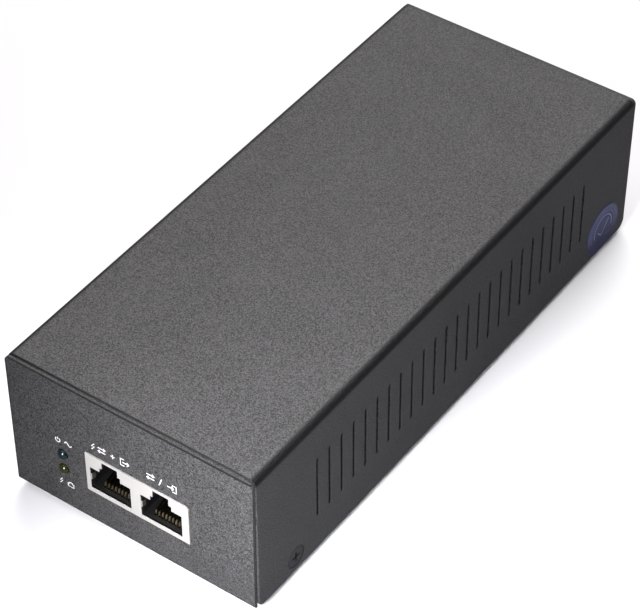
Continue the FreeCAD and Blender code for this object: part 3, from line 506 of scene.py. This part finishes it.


# Seal: blue film with a paler ring near its rim, and painted shade that darkens film and ring towards
# its trimmed lower edge

sealFilm = {
    "centre": (72.2, 9.0),
    "radius": 7.9,
    # the film's colour higher up, and its darker painted-shade colour at the bottom
    "upper": (0.034, 0.041, 0.140),
    "lower": (0.009, 0.011, 0.070),
    "ring": (0.135, 0.145, 0.290),
    "scratch": (0.12, 0.13, 0.22),
    "shadeFade": (-0.45, 0.25),         # lower to upper colour, as parts of the radius
    "ringRise": (0.78, 0.86),      # the paler ring's inner and outer edges
    "ringFall": (0.90, 0.98),
    "ringRest": 0.25,              # what is left of the ring outside it
    "ringStrength": 0.75,
    "wear": {"Spread": 220.0, "Amount": 0.25, "Scratches": 0.4},
    "grainSize": 0.5,
    "roughness": 0.34,
    "specular": 0.3,
    "bump": 0.5,
    "relief": 0.02,
}


def sealMaterial(name, values):
    material, tree, shader = startMaterial(name)
    where = addNode(tree, "ShaderNodeSeparateXYZ", None, Vector=place(tree)).outputs
    centreY, centreZ = [part * mm for part in values["centre"]]
    out = distanceFrom(tree, where["Y"], where["Z"], centreY, centreZ)
    radius = values["radius"] * mm
    # painted shade: darker towards the lower edge, and the ring fades with it
    shadeFade = [centreZ + part * radius for part in values["shadeFade"]]
    height = rangeNode(tree, where["Z"], *shadeFade, smooth=True)
    colour = mixColour(tree, height, values["lower"], values["upper"])
    rise, fall = [[part * radius for part in values[key]] for key in ("ringRise", "ringFall")]
    ringIn = rangeNode(tree, out, *rise, smooth=True)
    ringOut = rangeNode(tree, out, *fall, 1.0, values["ringRest"], smooth=True)
    band = mathNode(tree, "MULTIPLY", ringIn, ringOut)
    strength = mathNode(tree, "MULTIPLY", height, values["ringStrength"])
    colour = mixColour(tree, mathNode(tree, "MULTIPLY", band, strength), colour, values["ring"])
    grain = useGroup(tree, fineGrain, Size=values["grainSize"])
    wear = useGroup(tree, handling, **values["wear"])
    colour = mixColour(tree, wear.outputs["Scratch"], colour, values["scratch"])
    tree.links.new(colour, shader.inputs["Base Color"])
    rough = mathNode(tree, "ADD", wear.outputs["Shift"], values["roughness"])
    tree.links.new(rough, shader.inputs["Roughness"])
    shader.inputs["Specular IOR Level"].default_value = values["specular"]
    addBump(tree, shader, grain.outputs["Height"], values["bump"], values["relief"])
    return material


# Lamp lenses and fuse glass

lenses = {
    "lamp_lens_green": {"colour": (0.003, 0.013, 0.016), "roughness": 0.07, "transmission": 0.04},
    "lamp_lens_amber": {"colour": (0.020, 0.025, 0.003), "roughness": 0.07, "transmission": 0.04},
    "fuse_glass": {"colour": (0.86, 0.90, 0.89), "roughness": 0.03, "transmission": 0.95},
}


lensLook = {"grainSize": 0.6, "deep": 0.7, "refraction": 1.53, "bump": 0.2, "relief": 0.002}


def lensMaterial(name, values, look):
    material, tree, shader = startMaterial(name)
    grain = useGroup(tree, fineGrain, Size=look["grainSize"])
    deep = [part * look["deep"] for part in values["colour"]]
    colour = mixColour(tree, grain.outputs["Tone"], deep, values["colour"])
    tree.links.new(colour, shader.inputs["Base Color"])
    shader.inputs["Roughness"].default_value = values["roughness"]
    shader.inputs["Transmission Weight"].default_value = values["transmission"]
    shader.inputs["IOR"].default_value = look["refraction"]
    addBump(tree, shader, grain.outputs["Height"], look["bump"], look["relief"])
    return material


# Jack: plating that is bright on the face, with painted shade in the mouths behind it, and spring
# wires with a painted highlight on their front bend and painted shade along the rest

jackFinish = {
    "face": (0.45, 0.437, 0.415), "dullFace": 0.93, "mouthShade": (0.035, 0.033, 0.030),
    "faceDepth": (0.30, 0.50), "faceRoughness": (0.38, 0.48), "faceMetallic": 0.1,
    "faceGrain": 0.2, "faceBump": 0.7, "faceRelief": 0.006,
    # the painted highlight on each wire's front bend, and the painted shade along the rest of it
    "bend": (0.95, 0.80, 0.50), "wire": (0.055, 0.034, 0.012),
    "bendBack": (0.45, 0.9), "bendLow": (1.3, 1.7), "wireRoughness": (0.24, 0.34),
    "wireGrain": 0.06, "wireBump": 0.5, "wireRelief": 0.003,
}


def shieldMaterial(name, values):
    material, tree, shader = startMaterial(name)
    grain = useGroup(tree, fineGrain, Size=values["faceGrain"])
    depth = addNode(tree, "ShaderNodeSeparateXYZ", None, Vector=place(tree)).outputs["Y"]
    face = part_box("jack_shield")[0][1]
    # painted shade: the plating turns to the dark mouth colour a little way behind the face
    shade = rangeNode(tree, depth, *[face + part * mm for part in values["faceDepth"]])
    worn = [values["dullFace"] * part for part in values["face"]]
    colour = mixColour(tree, midRange(tree, grain.outputs["Tone"]), worn, values["face"])
    tree.links.new(mixColour(tree, shade, colour, values["mouthShade"]), shader.inputs["Base Color"])
    rough = midRange(tree, grain.outputs["Tone"], *values["faceRoughness"])
    tree.links.new(rough, shader.inputs["Roughness"])
    shader.inputs["Metallic"].default_value = values["faceMetallic"]
    addBump(tree, shader, grain.outputs["Height"], values["faceBump"], values["faceRelief"])
    return material


def contactMaterial(name, values):
    material, tree, shader = startMaterial(name)
    grain = useGroup(tree, fineGrain, Size=values["wireGrain"])
    where = addNode(tree, "ShaderNodeSeparateXYZ", None, Vector=place(tree)).outputs
    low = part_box("jack_contacts")[0]
    near, far = [low[1] + part * mm for part in values["bendBack"]]
    under, over = [low[2] + part * mm for part in values["bendLow"]]
    # painted highlight at the front and high on each wire, painted shade behind and below it
    paintedHighlight = mathNode(
        tree, "MULTIPLY",
        rangeNode(tree, where["Y"], near, far, 1.0, 0.0),
        rangeNode(tree, where["Z"], under, over))
    colour = mixColour(tree, paintedHighlight, values["wire"], values["bend"])
    tree.links.new(colour, shader.inputs["Base Color"])
    rough = midRange(tree, grain.outputs["Tone"], *values["wireRoughness"])
    tree.links.new(rough, shader.inputs["Roughness"])
    shader.inputs["Metallic"].default_value = 1.0
    addBump(tree, shader, grain.outputs["Height"], values["wireBump"], values["wireRelief"])
    return material


# Circuit board: masked laminate with traces under the mask

boardFinish = {
    "mask": (0.012, 0.110, 0.045),
    "trace": (0.030, 0.190, 0.075),
    "patch": (0.02, 0.15, 0.08),
    "patchStrength": 0.3,
    "blockSize": 1.27 * 8,
    "block": {"Mortar Size": 0.05, "Brick Width": 1.7, "Row Height": 0.25},
    "roughness": (0.28, 0.43),
    "grainSize": 0.4,
    "bump": 0.5,
    "relief": 0.03,
}


def boardMaterial(name, values):
    material, tree, shader = startMaterial(name)
    where = place(tree)
    bricks = addNode(
        tree, "ShaderNodeTexBrick", {"offset": 0.35, "squash": 1.0}, Vector=where,
        Scale=1 / (values["blockSize"] * mm))
    for title, value in values["block"].items():
        bricks.inputs[title].default_value = value
    grain = useGroup(tree, fineGrain, Size=values["grainSize"])
    mask = mixColour(tree, bricks.outputs["Fac"], values["trace"], values["mask"])
    patch = mathNode(tree, "MULTIPLY", grain.outputs["Tone"], values["patchStrength"])
    tree.links.new(mixColour(tree, patch, mask, values["patch"]), shader.inputs["Base Color"])
    rough = rangeNode(tree, grain.outputs["Tone"], 0.2, 0.8, *values["roughness"])
    tree.links.new(rough, shader.inputs["Roughness"])
    height = mathNode(tree, "MULTIPLY", bricks.outputs["Fac"], -1.0)
    addBump(tree, shader, height, values["bump"], values["relief"])
    return material


# Earth wire: green insulation with a yellow stripe that winds round it

earthInsulation = {
    "green": (0.03, 0.26, 0.05), "yellow": (0.75, 0.62, 0.03), "bands": 95.0,
    "stripe": (0.56, 0.62), "roughness": 0.34, "grainSize": 0.25, "bump": 0.5, "relief": 0.01}


def earthWireMaterial(name, values):
    material, tree, shader = startMaterial(name)
    bands = {"wave_type": "BANDS", "bands_direction": "DIAGONAL"}
    wave = addNode(tree, "ShaderNodeTexWave", bands, Vector=place(tree), Scale=values["bands"])
    grain = useGroup(tree, fineGrain, Size=values["grainSize"])
    stripe = rangeNode(tree, wave.outputs["Fac"], *values["stripe"])
    colour = mixColour(tree, stripe, values["green"], values["yellow"])
    tree.links.new(colour, shader.inputs["Base Color"])
    shader.inputs["Roughness"].default_value = values["roughness"]
    addBump(tree, shader, grain.outputs["Height"], values["bump"], values["relief"])
    return material


# Capacitor cans: shrunk sleeve with a pale stripe on the side, bare aluminium on top

canFinish = {
    "sleeve": (0.020, 0.020, 0.035), "metal": (0.72, 0.72, 0.73), "stripe": (0.45, 0.45, 0.46),
    "bareFrom": (0.75, 0.95), "stripeFrom": (0.86, 0.89),    # how far a face looks up, or back
    "roughness": (0.24, 0.38), "grainSize": 0.2, "bump": 0.5, "relief": 0.01}


def canMaterial(name, values):
    material, tree, shader = startMaterial(name)
    normal = addNode(tree, "ShaderNodeNewGeometry").outputs["Normal"]
    up = addNode(tree, "ShaderNodeSeparateXYZ", None, Vector=normal).outputs
    bare = rangeNode(tree, up["Z"], *values["bareFrom"])
    stripe = rangeNode(tree, up["Y"], *values["stripeFrom"])
    grain = useGroup(tree, fineGrain, Size=values["grainSize"])
    colour = mixColour(tree, stripe, values["sleeve"], values["stripe"])
    colour = mixColour(tree, bare, colour, values["metal"])
    tree.links.new(colour, shader.inputs["Base Color"])
    tree.links.new(bare, shader.inputs["Metallic"])
    rough = midRange(tree, grain.outputs["Tone"], *values["roughness"])
    tree.links.new(rough, shader.inputs["Roughness"])
    addBump(tree, shader, grain.outputs["Height"], values["bump"], values["relief"])
    return material


# Extruded aluminium: fine lines along its length

heatsinkFinish = {
    "colour": (0.80, 0.80, 0.81), "deep": 0.8, "lines": (4000.0, 60.0, 4000.0),
    "roughness": (0.28, 0.42), "bump": 0.5, "relief": 0.01}


def heatsinkMaterial(name, values):
    material, tree, shader = startMaterial(name)
    stretch = addNode(tree, "ShaderNodeMapping", None, Vector=place(tree), Scale=values["lines"])
    lines = addNode(
        tree, "ShaderNodeTexNoise", None, Vector=stretch.outputs[0], Scale=1.0, Detail=2.0)
    deep = [part * values["deep"] for part in values["colour"]]
    colour = mixColour(tree, lines.outputs[0], deep, values["colour"])
    tree.links.new(colour, shader.inputs["Base Color"])
    shader.inputs["Metallic"].default_value = 1.0
    rough = midRange(tree, lines.outputs[0], *values["roughness"])
    tree.links.new(rough, shader.inputs["Roughness"])
    addBump(tree, shader, lines.outputs[0], values["bump"], values["relief"])
    return material


# Polyester tape: overlapping wound layers

coilTape = {
    "colour": (0.70, 0.52, 0.05), "deep": 0.7, "layers": 55.0, "unevenness": 0.6,
    "roughness": (0.2, 0.35), "grainSize": 0.5, "bump": 0.5, "relief": 0.05}


def tapeMaterial(name, values):
    material, tree, shader = startMaterial(name)
    bands = {"wave_type": "BANDS", "bands_direction": "Z"}
    wave = addNode(
        tree, "ShaderNodeTexWave", bands, Vector=place(tree), Scale=values["layers"],
        Distortion=values["unevenness"])
    grain = useGroup(tree, fineGrain, Size=values["grainSize"])
    deep = [part * values["deep"] for part in values["colour"]]
    colour = mixColour(tree, wave.outputs["Fac"], deep, values["colour"])
    tree.links.new(colour, shader.inputs["Base Color"])
    rough = rangeNode(tree, grain.outputs["Tone"], 0.2, 0.8, *values["roughness"])
    tree.links.new(rough, shader.inputs["Roughness"])
    addBump(tree, shader, wave.outputs["Fac"], values["bump"], values["relief"])
    return material


# Insulating film: milky and slightly see-through

insulatingFilm = {
    "colour": (0.70, 0.70, 0.66), "deep": 0.85, "roughness": 0.3, "transmission": 0.3,
    "grainSize": 0.8, "bump": 0.4, "relief": 0.02}


def filmMaterial(name, values):
    material, tree, shader = startMaterial(name)
    grain = useGroup(tree, fineGrain, Size=values["grainSize"])
    deep = [part * values["deep"] for part in values["colour"]]
    colour = mixColour(tree, grain.outputs["Tone"], deep, values["colour"])
    tree.links.new(colour, shader.inputs["Base Color"])
    shader.inputs["Roughness"].default_value = values["roughness"]
    shader.inputs["Transmission Weight"].default_value = values["transmission"]
    addBump(tree, shader, grain.outputs["Height"], values["bump"], values["relief"])
    return material


addStudio(studio)
materials = {name: plainMaterial(name, values, plainLook) for name, values in finishes.items()}
materials.update({name: lensMaterial(name, values, lensLook) for name, values in lenses.items()})
materials["case_coat"] = caseMaterial("panCoat", caseCoat, panelShadedEdges)
coverCoat = caseMaterial("coverCoat", caseCoat, coverShadedEdges)
materials["jack_plating"] = shieldMaterial("jack_plating", jackFinish)
materials["contact_gold"] = contactMaterial("contact_gold", jackFinish)
materials["seal_film"] = sealMaterial("seal_film", sealFilm)
materials["board_laminate"] = boardMaterial("board_laminate", boardFinish)
materials["wire_earth"] = earthWireMaterial("wire_earth", earthInsulation)
materials["can_sleeve"] = canMaterial("can_sleeve", canFinish)
materials["heatsink_aluminium"] = heatsinkMaterial("heatsink_aluminium", heatsinkFinish)
materials["coil_tape"] = tapeMaterial("coil_tape", coilTape)
materials["insulation"] = filmMaterial("insulation", insulatingFilm)
print("materials made:", len(bpy.data.materials))


# CAD nodes: each takes its slot's finish; sharp sheet and moulded edges are softened

softEdges = {
    "base_pan": 0.22,
    "inlet_housing": 0.35,
    "jack_shield": 0.06,
    "jack_housing": 0.10,
    "lamp_holder": 0.25,
    "inlet_blades": 0.12,
    "terminal_block": 0.20,
}
softEdgeAngle = 40
weldDistance = 0.001


def dressNodes():
    slots = {row["node"]: row["material_slot"] for row in frame["record"]["subparts"]}
    for name, node in frame["nodes"].items():
        finish = coverCoat if name == "cover" else materials[slots[name]]
        if not node.material_slots:
            node.data.materials.append(finish)
        for holder in node.material_slots:
            holder.material = finish
        if name in softEdges:
            weld = node.modifiers.new("weld", "WELD")
            weld.merge_threshold = weldDistance * mm
            bevel = node.modifiers.new("softEdge", "BEVEL")
            bevel.width = softEdges[name] * mm
            bevel.segments = 2
            bevel.limit_method = "ANGLE"
            bevel.angle_limit = math.radians(softEdgeAngle)
            bevel.harden_normals = False


dressNodes()
print("CAD nodes dressed")


# Printed marks: thin raised ink lines, drawn as pictograms

printedInk = {"legendWidth": 0.30, "rayWidth": 0.16, "tickWidth": 0.34, "flatness": 0.3}


# Round-ended strokes turned to mesh and pressed flat against a plane of the case.
def flattenedLines(name, lines, thickness, toPlace, axis, plane, material):
    curve = bpy.data.curves.new(name, "CURVE")
    curve.dimensions = "3D"
    curve.bevel_depth = thickness / 2 * mm
    curve.bevel_resolution = 3
    curve.use_fill_caps = True
    for line in lines:
        spline = curve.splines.new("POLY")
        spline.points.add(len(line) - 1)
        for point, (a, b) in zip(spline.points, line):
            point.co = (*toPlace(a, b), 1)
    source = bpy.data.objects.new(name + "Source", curve)
    scene.collection.objects.link(source)
    depsgraph = bpy.context.evaluated_depsgraph_get()
    mesh = bpy.data.meshes.new_from_object(source.evaluated_get(depsgraph))
    bpy.data.objects.remove(source)
    for vertex in mesh.vertices:
        vertex.co[axis] = plane + (vertex.co[axis] - plane) * printedInk["flatness"]
    mesh.materials.clear()
    mesh.materials.append(material)
    for polygon in mesh.polygons:
        polygon.use_smooth = True
    mesh.name = name
    piece = bpy.data.objects.new(name, mesh)
    scene.collection.objects.link(piece)
    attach(piece, "root")


def arcLine(centreX, centreY, radius, startAngle, endAngle, steps=20):
    step = (endAngle - startAngle) / steps
    angles = [math.radians(startAngle + step * k) for k in range(steps + 1)]
    return [(centreX + radius * math.cos(a), centreY + radius * math.sin(a)) for a in angles]


def boltIcon():
    return [[(0.38, 0.95), (-0.42, -0.05), (0.42, 0.05), (-0.38, -0.95)]]


def plusIcon():
    return [[(-0.55, 0), (0.55, 0)], [(0, -0.55), (0, 0.55)]]


# Two arrows that pass each other.
def exchangeIcon():
    upper = [[(-1.0, 0.5), (1.0, 0.5)], [(0.5, 0.95), (1.0, 0.5), (0.5, 0.05)]]
    lower = [[(1.0, -0.5), (-1.0, -0.5)], [(-0.5, -0.05), (-1.0, -0.5), (-0.5, -0.95)]]
    return upper + lower


def slashIcon():
    return [[(-0.4, -1.05), (0.4, 1.05)]]


# An arrow that leaves an open box.
def outwardIcon():
    openBox = [(0.1, 0.95), (-0.9, 0.95), (-0.9, -0.95), (0.1, -0.95)]
    return [openBox, [(-0.35, 0), (1.35, 0)], [(0.8, 0.55), (1.35, 0), (0.8, -0.55)]]


# An arrow that enters an open box.
def inwardIcon():
    openBox = [(-0.1, 0.95), (0.9, 0.95), (0.9, -0.95), (-0.1, -0.95)]
    return [openBox, [(-1.45, 0), (0.25, 0)], [(-0.3, 0.55), (0.25, 0), (-0.3, -0.55)]]


def powerIcon():
    return [arcLine(0, -0.1, 0.72, 125, 415), [(0, 0.15), (0, 0.85)]]


def waveIcon():
    return [[(-1.1 + 2.2 * k / 24, 0.55 * math.sin(2 * math.pi * k / 24)) for k in range(25)]]


# The mouth of a network port.
def socketIcon():
    mouth = [
        (-0.95, 0.35), (-0.95, -0.75), (0.95, -0.75), (0.95, 0.35),
        (0.45, 0.35), (0.45, 0.8), (-0.45, 0.8), (-0.45, 0.35)]
    return [mouth + mouth[:1]]


legends = {
    "legendPower": {
        "centre": (-20.5, 25.4), "scale": 0.98,
        "icons": [(-1.85, powerIcon), (1.45, waveIcon)]},
    "legendSupply": {
        "centre": (-20.7, 10.9), "scale": 0.95,
        "icons": [(-1.8, boltIcon), (1.35, socketIcon)]},
    "legendOut": {
        "centre": (-5.7, 29.8), "scale": 1.15,
        "icons": [(-4.6, boltIcon), (-2.3, exchangeIcon), (0.6, plusIcon), (3.6, outwardIcon)]},
    "legendIn": {
        "centre": (9.8, 30.0), "scale": 1.15,
        "icons": [(-2.9, exchangeIcon), (-0.3, slashIcon), (2.9, inwardIcon)]},
}


def addLegends():
    frontFace = panBox[0][1]
    for name, legend in legends.items():
        lines = []
        for offset, icon in legend["icons"]:
            lines += [[(offset + a, b) for a, b in line] for line in icon()]
        scale = legend["scale"]
        centreX, centreZ = legend["centre"]

        def toPlace(a, b):
            return ((centreX + a * scale) * mm, frontFace, (centreZ + b * scale) * mm)

        width = printedInk["legendWidth"]
        flattenedLines(name, lines, width, toPlace, 1, frontFace, materials["legendInk"])


sealMark = {
    "rays": (5.5, 6.3), "rayFirst": -19.6, "rayStep": 7.6, "rayCount": 29, "rayLowest": -3.5,
    "tick": [(-2.6, 0.5), (-0.9, -1.3), (2.8, 2.6)], "loop": (0, 0.4, 4.4, -15, 195, 40),
}


# An arc of short rays, a loop and a tick on the seal, in the film's paler ink.
def addSealMark(values):
    centreY, centreZ = sealFilm["centre"]
    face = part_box("seal_sticker")[1][0]

    def toPlace(a, b):
        return (face, (centreY + a) * mm, (centreZ + b) * mm)

    rays = []
    for k in range(values["rayCount"]):
        angle = math.radians(values["rayFirst"] + k * values["rayStep"])
        rays.append([(r * math.cos(angle), r * math.sin(angle)) for r in values["rays"]])
    rays = [ray for ray in rays if min(b for a, b in ray) > values["rayLowest"]]
    ink = materials["sealInk"]
    flattenedLines("sealRays", rays, printedInk["rayWidth"], toPlace, 0, face, ink)
    tick = [values["tick"], arcLine(*values["loop"])]
    flattenedLines("sealTick", tick, printedInk["tickWidth"], toPlace, 0, face, ink)


addLegends()
addSealMark(sealMark)
print("printed marks made")


# Lamp insides: a reflector cup on its post. The dark lenses all but hide them.

lampInside = {
    "cupRadius": 0.55, "cupDepth": 0.35, "postRadius": 0.22, "postLength": 2.2, "fromNose": 2.1}


# Turns an (along, radius) profile about the Y axis through centre, in millimetres.
def lathePiece(name, profile, centre, material, steps=32):
    bm = bmesh.new()
    rings = []
    for along, radius in profile:
        ringVerts = []
        for k in range(steps):
            angle = 2 * math.pi * k / steps
            across = radius * mm * math.cos(angle)
            up = radius * mm * math.sin(angle)
            spot = (centre[0] + across, centre[1] + along * mm, centre[2] + up)
            ringVerts.append(bm.verts.new(spot))
        rings.append(ringVerts)
    for first, second in zip(rings, rings[1:]):
        for k in range(steps):
            bm.faces.new((first[k], first[(k + 1) % steps], second[(k + 1) % steps], second[k]))
    bm.faces.new(rings[0])
    bm.faces.new(rings[-1][::-1])
    bmesh.ops.recalc_face_normals(bm, faces=bm.faces)
    mesh = bpy.data.meshes.new(name)
    bm.to_mesh(mesh)
    bm.free()
    for polygon in mesh.polygons:
        polygon.use_smooth = True
    mesh.materials.append(material)
    piece = bpy.data.objects.new(name, mesh)
    scene.collection.objects.link(piece)
    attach(piece, "root")


def addLampInsides(values):
    for name in ("lamp_power", "lamp_supply"):
        low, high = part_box(name)
        middle = [(a + b) / 2 for a, b in zip(low, high)]
        centre = (middle[0], low[1] + values["fromNose"] * mm, middle[2])
        rim, post = values["cupRadius"], values["postRadius"]
        depth = values["cupDepth"]
        profile = [
            (depth * 0.5, rim * 0.35), (0.02, rim * 0.8), (0, rim), (depth, rim * 0.95),
            (depth * 1.3, post), (values["postLength"], post)]
        lathePiece(name + "Cup", profile, centre, materials["dieMetal"])


addLampInsides(lampInside)
print("lamp insides made")
